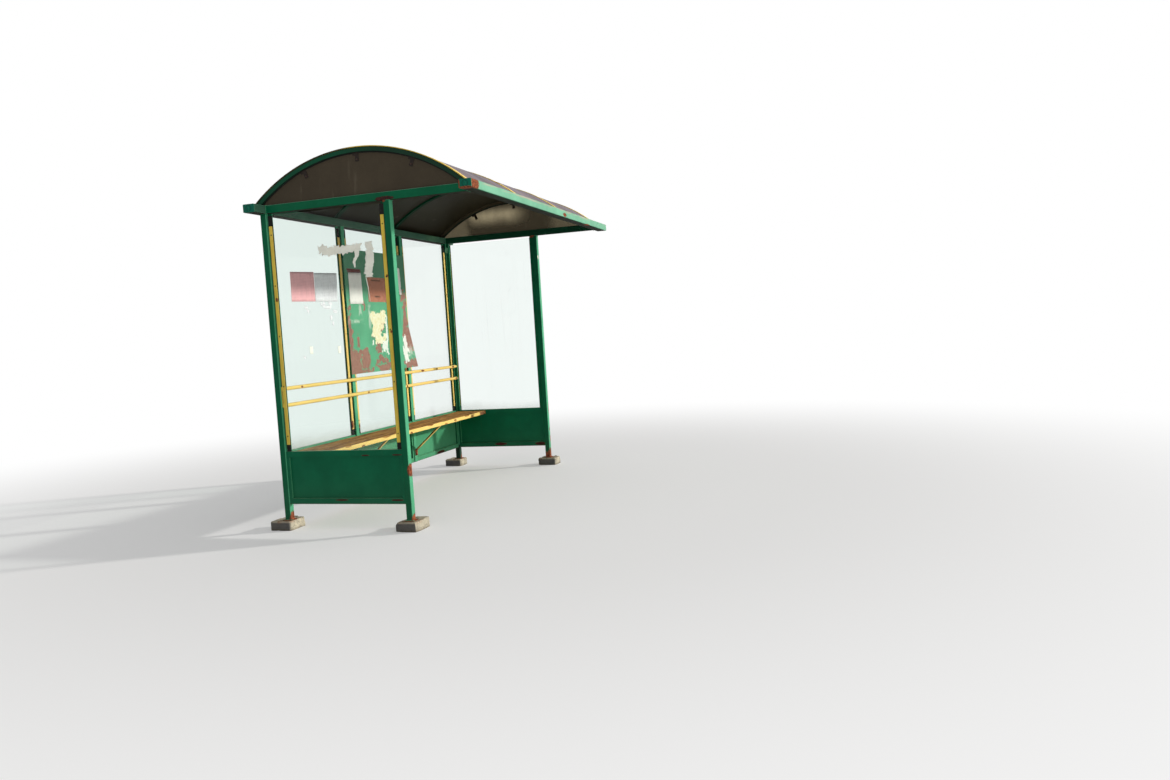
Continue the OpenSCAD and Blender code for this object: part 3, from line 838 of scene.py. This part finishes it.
def weld_round(x, y, z, outward_z):
    """A bead round the foot or head of a square tube."""
    for side in (-1, 1):
        face_x, face_y = x + side * POST_HALF, y + side * POST_HALF
        weld_along((x - POST_HALF, face_y, z), (x + POST_HALF, face_y, z), (0, side, outward_z))
        weld_along((face_x, y - POST_HALF, z), (face_x, y + POST_HALF, z), (side, 0, outward_z))


for side in (-1, 1):
    for y in (FRONT_POST_Y, BACK_POST_Y):
        weld_round(side * POST_X, y, FOOT_LEVEL + BASE_PLATE_THICKNESS, 1)
        weld_round(side * POST_X, y, HEAD_LEVEL, -1)
    weld_round(side * BAY / 2, BACK_POST_Y, HEAD_LEVEL, -1)
    for towards in (-1, 1):
        x = side * POST_X + towards * POST_HALF
        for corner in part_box("beam_left"):
            weld_along((x, corner.y, HEAD_LEVEL), (x, corner.y, BEAM_TOP), (towards, 0, 0))
stud_set("weld_beads", welds, post_paint, WELD_RADIUS, WELD_RISE, WELD_SIDES)


# Roof sheets
# Smoked sheet bent over the ribs and held by the cover strips, brown and nearly black underneath.
# Years of dust and tree litter have dulled the top to a greyish mauve.
SMOKE = (50, 46, 33)
SHEET_GLOW = (0.73, 0.67, 0.53, 1.0)
SHEET_CLEARNESS = 0.02


def smoked_finish(name, brown, streaks=None):
    """Brown sheet that lets a little light through; streaks(place) may set that share."""
    finish, place = start_finish(name)
    on_top = place.facing().z.step(0.15, 0.6)
    clouds = place.noise(2.6, 5, 0.62)
    fine = place.noise(90, 4, 0.6)
    washed = place.stretch(9, 1.2, 1.2).noise(1.0, 5, 0.6)
    smears = place.stretch(14, 14, 2.2).noise(1.0, 4, 0.62).step(0.60, 0.80)
    litter = place.noise(150, 2, 0.5).step(0.70, 0.76) * on_top
    dust = on_top * (clouds * 0.5 + washed * 0.35 + fine * 0.22).step(0.12, 0.75)
    surface = (clouds * 0.8 + fine * 0.2).step(0.3, 0.8).mix(shaded(brown, 0.7), brown)
    surface = (smears * 0.10).mix(surface, (176, 166, 150))
    surface = dust.mix(surface, washed.mix((116, 104, 112), (158, 148, 154)))
    surface = (litter * 0.7).mix(surface, (64, 52, 36))
    set_surface(
        finish, Base_Color=surface, Roughness=dust * 0.3 + clouds * 0.15 + 0.42,
        Specular_IOR_Level=0.10, height=fine * 0.00012 + clouds * 0.002,
    )
    share = streaks(place) if streaks is not None else clouds * 0.03 + SHEET_CLEARNESS
    lets_through = place.node("BsdfTransparent", {}, {"Color": SHEET_GLOW})
    show_mixed(finish, ((1 - dust * 0.85) * share).over(0.0).under(1.0), second=lets_through)
    return finish


dress(smoked_finish("roof sheet", SMOKE), "roof_sheet_left", "roof_sheet_middle", "roof_sheet_right")


# Cover strips
# Flat strips over the ribs, which hold the sheets down with a screw every hand's length.
# The yellow is bright on their front half, and behind the crown painted shade makes it dull and dark.
SCREW_PITCH = math.radians(11.0)
SCREWS_ON_ARC = 8
SCREW_SINK = 0.0018
half_span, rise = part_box("cover_strips")[1].y, cad_high.z - BEAM_TOP
ARC_RADIUS = (half_span ** 2 + rise ** 2) / (2 * rise)
ARC_CENTRE = Vector((0, 0, cad_high.z - ARC_RADIUS))
RIB_X = [middle_of(rib).x for rib in ("rib_left", "rib_inner_left", "rib_inner_right", "rib_right")]
# Where each strip is rusted, from front to back
RUSTED_AT = ((-0.80, -0.31), (-0.62, 0.40), (-0.80, -0.18, 0.52), (-0.44, -0.05))
COVER_SPOTS = tuple(
    ((x, y, ARC_CENTRE.z + math.sqrt(ARC_RADIUS ** 2 - y ** 2)), (0.022, 0.020, 0.012))
    for x, rusted in zip(RIB_X, RUSTED_AT) for y in rusted
)


def cover_tint(place, facing, coat):
    """Painted shade behind the crown, dull and dark, and nearly black painted shade there along the edges.
    """
    # Painted shade on the back half of each strip, darkest on its side edges
    behind = place.y.step(0.0, 0.26) * (place.noise(30, 4).step(0.3, 0.6) * 0.25 + 0.75)
    coat = behind.mix(coat, (92, 84, 58))
    edge_behind = abs(facing.x).step(0.4, 0.7) * place.y.step(-0.02, 0.12)
    return edge_behind.mix(coat, (36, 42, 32))


def outward_at(turn):
    """The way out of the arch at an angle from its crown, positive to the back."""
    return Vector((0, math.sin(turn), math.cos(turn)))


cover_paint = painted_steel(
    "cover paint", YELLOW, LIT_CHALKED_YELLOW, COVER_SPOTS, chips=0.6, dust=0.0, tint=cover_tint,
)
dress(cover_paint, "cover_strips")
places = []
for x in RIB_X:
    for number in range(SCREWS_ON_ARC):
        outward = outward_at((number - (SCREWS_ON_ARC - 1) / 2) * SCREW_PITCH)
        point = Vector((x, 0, 0)) + ARC_CENTRE + outward * (ARC_RADIUS - SCREW_SINK)
        places.append((point, outward))
stud_set("roof_screws", places, screw_steel)


# Gables
# Flat segments of the same smoked sheet, hung in the end ribs on three dark clips with a bolt in each.
# The left one stands against the dark of the roof; the right one lets warm light through in bands.
BAND_LEVEL, BAND_BELOW, BAND_ABOVE = 2.442, 0.13, 0.12
CLIP_SPREAD = math.radians(20.5)
# Each bolt goes through its clip's leg, below the cover strip's arc and in front of the clip's middle
BOLT_BELOW_ARC, BOLT_IN_FRONT = 0.082, 0.009
BOLT_HEAD, BOLT_RISE, BOLT_SIDES = 0.0065, 0.005, 6


def warm_bands(place):
    """How much light the right gable lets through: a level band in its back half, less in both corners."""
    cloudy = place.noise(6.0, 4, 0.55) - 0.5
    drawn = place.stretch(1, 1.0, 0.12).noise(16.0, 3, 0.5)
    from_band = place.z - BAND_LEVEL + cloudy * 0.05
    along = place.y + cloudy * 0.10
    band = from_band.step(-BAND_BELOW, 0.0) * from_band.step(BAND_ABOVE, 0.0)
    band_in_back = band * along.step(-0.22, 0.06) * along.step(0.54, 0.36)
    corners = along.step(0.42, 0.52).over(along.step(-0.32, -0.48))
    return (band_in_back * 0.46).over(corners * 0.19) * (drawn * 0.5 + 0.75) + 0.20


dress(smoked_finish("left gable sheet", (80, 71, 57)), "gable_left")
dress(smoked_finish("right gable sheet", (84, 73, 58), warm_bands), "gable_right")
clip_steel, place = start_finish("clip steel")
set_surface(
    clip_steel, Base_Color=place.noise(50, 4).mix((20, 22, 20), (56, 42, 34)),
    Roughness=0.6, Specular_IOR_Level=0.2, height=place.noise(240, 3) * 0.0003,
)
dress(clip_steel, "gable_clips")
clip_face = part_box("gable_clips")[1].x
places = []
for side in (-1, 1):
    for turn in (-CLIP_SPREAD, 0.0, CLIP_SPREAD):
        forward = Vector((0, -math.cos(turn), math.sin(turn)))
        from_centre = outward_at(turn) * (ARC_RADIUS - BOLT_BELOW_ARC) + forward * BOLT_IN_FRONT
        places.append((Vector((side * clip_face, 0, 0)) + ARC_CENTRE + from_centre, Vector((side, 0, 0))))
stud_set("clip_bolts", places, screw_steel, BOLT_HEAD, BOLT_RISE, BOLT_SIDES)

# A bead of black sealant fills the gap between each gable and its rib
BEAD_HALF, BEAD_STEPS = 0.003, 72
BEAD_OVER_BEAM, BEAD_OVER_SHEET = 0.004, 0.001


def skin(build, rows, closed=False):
    """Faces between neighbouring rows of points, and round to the first point where the rows are rings."""
    for row, following in zip(rows, rows[1:]):
        for number in range(len(row) if closed else len(row) - 1):
            beyond = (number + 1) % len(row)
            build.faces.new((row[number], row[beyond], following[beyond], following[number]))


gable_x = middle_of("gable_right").x
gap_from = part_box("gable_right")[1].z - ARC_CENTRE.z - BEAD_OVER_SHEET
gap_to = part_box("gable_clips")[1].z - ARC_CENTRE.z
bead_reach = math.acos((BEAM_TOP + BEAD_OVER_BEAM - ARC_CENTRE.z) / gap_from)
build = bmesh.new()
for side in (-1, 1):
    rings = []
    for number in range(BEAD_STEPS + 1):
        outward = outward_at(bead_reach * (2 * number / BEAD_STEPS - 1))
        rings.append([
            build.verts.new(Vector((side * (gable_x + aside), 0, 0)) + ARC_CENTRE + outward * radius)
            for aside, radius in (
                (-BEAD_HALF, gap_from), (BEAD_HALF, gap_from), (BEAD_HALF, gap_to), (-BEAD_HALF, gap_to),
            )
        ])
    skin(build, rings, closed=True)
    build.faces.new(rings[0])
    build.faces.new(rings[-1])
add_piece("gable_seals", mesh_of(build, "gable_seals"), rubber)


# Handrails
# Two thin steel tubes along the back wall, held off it on short plates.
# They are painted the same warm yellow, worn by hands and rusting in spots.
rail_low, rail_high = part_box("handrails")
RAIL_RADIUS = 0.0135
UPPER_RAIL, LOWER_RAIL = rail_high.z - RAIL_RADIUS, rail_low.z + RAIL_RADIUS
RAIL_SPOTS = tuple(((x, rail_low.y + 0.004, z), (reach, 0.012, 0.008)) for x, z, reach in (
    (0.66, UPPER_RAIL, 0.030), (0.95, UPPER_RAIL, 0.014), (-0.3, LOWER_RAIL, 0.012),
    (1.30, UPPER_RAIL, 0.022), (1.36, LOWER_RAIL, 0.020), (-1.2, UPPER_RAIL, 0.012),
    (0.35, LOWER_RAIL, 0.012),
))
dress(painted_steel("rail paint", YELLOW, LIT_CHALKED_YELLOW, RAIL_SPOTS, chips=0.9), "handrails")


# Bench
# A folded sheet seat on two bent brackets. Its front edge keeps the yellow paint,
# while the top has been sat through to streaky golden-brown rust with a few islands of paint left.
seat_low, seat_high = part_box("bench_seat")
BENCH_SPOTS = tuple(((x, seat_low.y, z), (reach, 0.012, 0.010)) for x, z, reach in (
    (-0.151, 0.520, 0.020), (0.69, 0.53, 0.022), (1.06, 0.525, 0.024), (1.36, 0.53, 0.024),
    (-0.9, 0.518, 0.02), (0.2, 0.545, 0.05), (-0.55, 0.545, 0.06), (0.95, 0.545, 0.05),
    (-1.1, 0.546, 0.04), (0.50, 0.516, 0.03),
))
SEAT_RUST = ((98, 58, 34), (222, 166, 88))
SEAT_GRAIN = (0.05, 0.34, 1.0)
SEAT_TIP = (seat_high.x - 0.03, seat_low.y, seat_low.z + 0.02)


def sat_through(place, ragged):
    """Rust all over the top, but for a few islands."""
    top = place.facing().z.step(0.4, 0.8)
    islands = place.stretch(0.8, 2.4, 1.0).noise(6.5, 6, 0.6)
    return (0.60 - islands * 0.6 - ragged * 0.4) * 4.0 + top * 0.4 - (1 - top) * 3.0


def bench_tint(place, facing, coat):
    """Dark rust where the right end has been knocked."""
    knocked = spot(place, place.noise(40, 5), SEAT_TIP, (0.12, 0.03, 0.04)).step(0.0, 0.15)
    return (knocked * 0.9).mix(coat, (112, 60, 50))


bench_paint = painted_steel(
    "bench paint", YELLOW, LIT_CHALKED_YELLOW, BENCH_SPOTS, chips=0.6, bare_also=sat_through, tint=bench_tint,
    rust=SEAT_RUST, grain=SEAT_GRAIN,
)
dress(bench_paint, "bench_seat")


def bracket_tint(place, facing, coat):
    """Yellow on the front edges alone, with brown on the flanks."""
    flank = abs(facing.x).step(0.5, 0.8)
    return (flank * (place.noise(30, 4).step(0.3, 0.55) * 0.3 + 0.7)).mix(coat, (112, 84, 46))


bracket_low, bracket_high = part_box("bench_brackets")
BRACKET_SPOTS = tuple(
    ((x, bracket_high.y - 0.05, bracket_low.z + 0.02), (0.04, 0.08, 0.05))
    for x in (bracket_low.x, bracket_high.x)
)
bracket_paint = painted_steel(
    "bracket paint", YELLOW, LIT_CHALKED_YELLOW, BRACKET_SPOTS, chips=0.9, tint=bracket_tint,
)
dress(bracket_paint, "bench_brackets")


# Notice board
# Sheet steel over the middle bay, painted like the frame. Torn-off bills have taken the paint with
# them: red primer shows in ragged patches, with yellowed paste and paper left between.
# Each patch is its middle across, middle height, half width and half height.
PRIMER_PATCHES = (
    (-0.470, 1.30, 0.026, 0.29), (-0.42, 1.13, 0.10, 0.11), (-0.26, 1.155, 0.070, 0.085),
    (-0.365, 1.305, 0.022, 0.030), (-0.285, 1.055, 0.14, 0.020), (-0.215, 1.58, 0.018, 0.035),
    (-0.050, 1.262, 0.042, 0.052), (0.00, 1.145, 0.080, 0.030), (0.02, 1.065, 0.110, 0.040),
    (0.435, 1.50, 0.035, 0.22), (0.46, 1.30, 0.055, 0.10), (0.44, 1.070, 0.10, 0.050),
    (0.03, 1.42, 0.028, 0.040),
)
DARK_BAND = (-0.348, 1.870, 0.106, 0.016)
BROWN_PLATE = (-0.010, 1.725, 0.146, 0.104)
PLATE_SLOTS = ((-0.02, 1.802, 0.075, 0.006), (-0.01, 1.668, 0.042, 0.007))
YELLOW_PASTE = (
    (-0.045, 1.460, 0.095, 0.080), (-0.050, 1.375, 0.080, 0.060), (0.00, 1.315, 0.085, 0.035),
    (0.05, 1.49, 0.04, 0.06),
)
WHITE_PASTE = (
    (0.060, 1.245, 0.050, 0.055), (0.105, 1.40, 0.016, 0.10), (-0.130, 1.285, 0.012, 0.022),
    (0.395, 1.25, 0.026, 0.08), (0.37, 1.17, 0.024, 0.07),
)
PALE_SMEARS = (
    (-0.375, 1.462, 0.12, 0.022), (-0.155, 1.50, 0.030, 0.14), (-0.30, 1.56, 0.03, 0.06),
    (0.42, 1.20, 0.06, 0.07),
)


def patch(place, ragged, form, bite, soft=0.06):
    """1 inside an upright rectangle on the back wall, with a ragged border."""
    across, height, half_across, half_height = form
    sideways = abs(place.x - across) / half_across
    upright = abs(place.z - height) / half_height
    return (1 - sideways.over(upright) + (ragged - 0.5) * bite).step(0.0, soft)


def any_patch(place, ragged, forms, bite, soft=0.06):
    """1 inside any of several such rectangles."""
    return most([patch(place, ragged, form, bite, soft) for form in forms])


def shaken(place, scale, reach):
    """The place moved about by noise, so that straight borders turn ragged."""
    cloud = place.noise(scale, 5.0, output="Color").vector("SUBTRACT", (0.5, 0.5, 0.5))
    return place.vector("ADD", cloud.vector("MULTIPLY", (reach, reach, reach)))


def board_tint(place, facing, coat):
    """Primer patches, the place of a lost plate, paste and paper, from below to above."""
    torn = shaken(place, 13.0, 0.17)
    lobes = place.noise(17, 5, 0.55)
    fine = place.noise(60, 5, 0.62)
    tongues = place.stretch(1, 1, 0.75).noise(34, 6, 0.62)
    # Painted shade: the board turns greyer and darker from 1.6 m up, where the roof's shadow falls
    front = (place.z.step(1.60, 1.80) * 0.35).mix(coat, (84, 92, 80))
    primer = any_patch(torn, lobes * 0.6 + fine * 0.4, PRIMER_PATCHES, 2.0)
    front = primer.mix(front, fine.step(0.3, 0.7).mix((140, 98, 86), (164, 124, 106)))
    front = patch(place, fine, DARK_BAND, 0.5).mix(front, (112, 66, 62))
    plate = patch(place, fine, BROWN_PLATE, 0.12, 0.03) * 0.95
    front = plate.mix(front, fine.step(0.3, 0.75).mix((170, 104, 82), (202, 126, 98)))
    front = (any_patch(place, fine, PLATE_SLOTS, 0.5) * 0.8).mix(front, (84, 62, 48))
    front = (any_patch(place, tongues, PALE_SMEARS, 2.6, 0.9) * 0.55).mix(front, (214, 222, 206))
    paste = any_patch(torn, tongues, YELLOW_PASTE, 1.7, 0.12) * 0.94
    front = paste.mix(front, fine.step(0.35, 0.65).mix((240, 228, 172), (250, 244, 216)))
    front = (any_patch(place, tongues, WHITE_PASTE, 2.4, 0.15) * 0.9).mix(front, (240, 242, 232))
    return facing.y.step(-0.2, 0.2).mix(front, coat)


# The paler colour is for chalking and painted light on the faces to the front and top
dress(painted_steel("board paint", SEA_GREEN, (98, 176, 134), chips=0.1, tint=board_tint), "notice_board")


# Notices and tape
# Office paper taped to the glass and to the board, cockled by damp, its print worn to faint rules.
# A torn band of packing tape and the ends of old bills still hang on the glass.
PAPER_THICKNESS, PAPER_LIFT = 0.0003, 0.0010
PAPER_COLUMNS, PAPER_STEPS = 10, 28
RULE_PITCH = 0.011
INK = (96, 96, 104)
BOARD_SHEET = 0.002
BOARD_FACE_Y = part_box("notice_board")[1].y - BOARD_SHEET


def paper_finish(name, colour, print_colour, print_share):
    """Paper with faint rules across it; print_share is how strongly they show."""
    finish, place = start_finish(name)
    creases = place.noise(24, 4, 0.6)
    fibres = place.noise(420, 2, 0.5)
    rule = place.maths("FRACT", place.z / RULE_PITCH)
    breaks = place.stretch(1, 1, 0.0).noise(55, 3, 0.7).step(0.42, 0.50)
    printed = rule.between(0.30, 0.55, 0.12) * breaks * print_share
    aged = creases.step(0.35, 0.75).mix(colour, shaded(colour, 0.90))
    set_surface(
        finish, Base_Color=printed.mix(aged, print_colour), Roughness=0.8, Specular_IOR_Level=0.15,
        height=creases * 0.0008 + fibres * 0.00005,
    )
    return finish


def sheet_between(build, first, last, to_wall, tear, wave, steps):
    """A sheet between two borders, each a list of (across, height), laid on a wall by to_wall.

    tear jags its sides, wave lifts it off the wall, and steps is the number of its strips.
    """
    def along(border, share):
        reached = share * (len(border) - 1)
        number = min(int(reached), len(border) - 2)
        return Vector(border[number]).lerp(Vector(border[number + 1]), reached - number)

    rows = []
    for number in range(steps + 1):
        start, end = along(first, number / steps), along(last, number / steps)
        seed = Vector((start.x * 31.0, start.y * 37.0, 0))
        jag = Vector((noise.noise(seed * 3.1), noise.noise(seed * 4.3 + Vector((9, 0, 0))))) * tear
        row = []
        for column in range(PAPER_COLUMNS + 1):
            across = column / PAPER_COLUMNS
            # The jag is whole at both sides and nothing in the middle
            point = start.lerp(end, across) + jag * (4 * (across - 0.5) ** 2)
            cockle = noise.noise(Vector((point.x * 23.0, point.y * 19.0, 5.0)))
            row.append(build.verts.new(to_wall(point.x, point.y, PAPER_LIFT + wave * (0.5 + 0.5 * cockle))))
        rows.append(row)
    skin(build, rows)


def paper_piece(name, finish, to_wall, *sheets):
    """One piece of sheets, each of them two borders and its tear, wave and steps."""
    build = bmesh.new()
    for first, last, tear, wave, steps in sheets:
        sheet_between(build, first, last, to_wall, tear, wave, steps)
    carrier = carrier_of(name, mesh_of(build, name))
    body = carrier.modifiers.new("thickness", "SOLIDIFY")
    body.thickness = PAPER_THICKNESS
    body.offset = 0.0
    add_piece(name, baked_mesh(carrier, name, smooth=True), finish)


def on_back_glass(across, height, lift):
    return Vector((across, GLASS_FACE_Y - lift, height))


def on_board(across, height, lift):
    return Vector((across, BOARD_FACE_Y - lift, height))


def on_left_glass(across, height, lift):
    return Vector((-GLASS_FACE_X - lift, across, height))


pink_paper = paper_finish("pink paper", (255, 192, 195), (160, 92, 106), 0.30)
white_paper = paper_finish("white paper", (248, 247, 250), INK, 0.26)
cream_paper = paper_finish("cream paper", (247, 243, 235), INK, 0.10)
tape_film = paper_finish("packing tape", (252, 252, 238), INK, 0.0)

paper_piece("notice_pink", pink_paper, on_back_glass, (
    [(-1.174, 1.827), (-0.880, 1.839)], [(-1.178, 1.613), (-0.883, 1.618)], 0.0, 0.003, PAPER_STEPS,
))
paper_piece("notice_white", white_paper, on_back_glass, (
    [(-0.876, 1.832), (-0.572, 1.844)], [(-0.880, 1.617), (-0.588, 1.621)], 0.001, 0.004, PAPER_STEPS,
))
paper_piece("notice_on_board", cream_paper, on_board, (
    [(-0.440, 1.853), (-0.250, 1.858)], [(-0.441, 1.603), (-0.246, 1.605)], 0.001, 0.004, PAPER_STEPS,
))
paper_piece("bill_strip", cream_paper, on_board, (
    [(0.352, 1.93), (0.350, 1.82), (0.366, 1.69)], [(0.392, 1.925), (0.402, 1.80), (0.402, 1.692)],
    0.012, 0.006, PAPER_STEPS,
))

# Scraps left by torn-off bills: middle across, middle height, half width, half height
SCRAPS = (
    (-0.790, 1.600, 0.030, 0.016), (-0.735, 1.578, 0.055, 0.017), (-0.690, 1.604, 0.026, 0.013),
    (-0.630, 1.545, 0.026, 0.015), (-1.010, 1.572, 0.020, 0.013), (-0.985, 1.545, 0.016, 0.016),
    (-0.690, 1.495, 0.014, 0.022), (-0.668, 1.455, 0.012, 0.018), (-1.075, 1.205, 0.014, 0.010),
)
# Shares of a scrap's half height that its left end, middle and right end reach up and down
SCRAP_TOP, SCRAP_FOOT = (1.0, 0.6, 1.0), (-0.5, -1.0, -0.7)
scraps = []
for across, height, half_across, half_height in SCRAPS:
    top, foot = (
        [(across + end * half_across, height + reach * half_height) for end, reach in zip((-1, 0, 1), form)]
        for form in (SCRAP_TOP, SCRAP_FOOT)
    )
    scraps.append((top, foot, 0.010, 0.001, 14))
paper_piece("bill_scraps", white_paper, on_back_glass, *scraps)

# The tape: a level band, a curl that hangs from it, an upright strip and the thread below that
paper_piece(
    "torn_tape", tape_film, on_left_glass,
    (
        [(0.345, 1.955), (0.30, 1.962), (0.26, 1.948), (0.16, 1.946), (0.06, 1.945), (0.012, 1.950)],
        [(0.340, 1.925), (0.315, 1.895), (0.25, 1.892), (0.14, 1.890), (0.06, 1.900), (0.020, 1.905)],
        0.022, 0.004, 60,
    ),
    (
        [(0.065, 1.915), (0.058, 1.880), (0.074, 1.850), (0.080, 1.822), (0.070, 1.795)],
        [(0.024, 1.915), (0.028, 1.885), (0.046, 1.852), (0.062, 1.822), (0.060, 1.795)],
        0.008, 0.010, 24,
    ),
    (
        [(-0.020, 1.955), (-0.024, 1.90), (-0.014, 1.85), (-0.010, 1.80), (-0.004, 1.755), (-0.010, 1.722)],
        [(-0.070, 1.958), (-0.078, 1.90), (-0.080, 1.84), (-0.072, 1.80), (-0.064, 1.76), (-0.060, 1.722)],
        0.014, 0.004, 60,
    ),
    (
        [(-0.006, 1.722), (-0.016, 1.66), (-0.022, 1.60), (-0.026, 1.56)],
        [(-0.012, 1.722), (-0.021, 1.66), (-0.026, 1.60), (-0.028, 1.56)],
        0.003, 0.004, 24,
    ),
)

# Two small stickers inside the left bay of the back wall
STICKERS = ((-0.983, 1.255), (-0.609, 1.245))
STICKER_HALF_WIDTH, STICKER_HALF_HEIGHT = 0.020, 0.028
stickers = []
for across, height in STICKERS:
    top, foot = (
        [(across - STICKER_HALF_WIDTH, level), (across + STICKER_HALF_WIDTH, level)]
        for level in (height + STICKER_HALF_HEIGHT, height - STICKER_HALF_HEIGHT)
    )
    stickers.append((top, foot, 0.003, 0.0, 8))
paper_piece("stickers", tape_film, on_back_glass, *stickers)
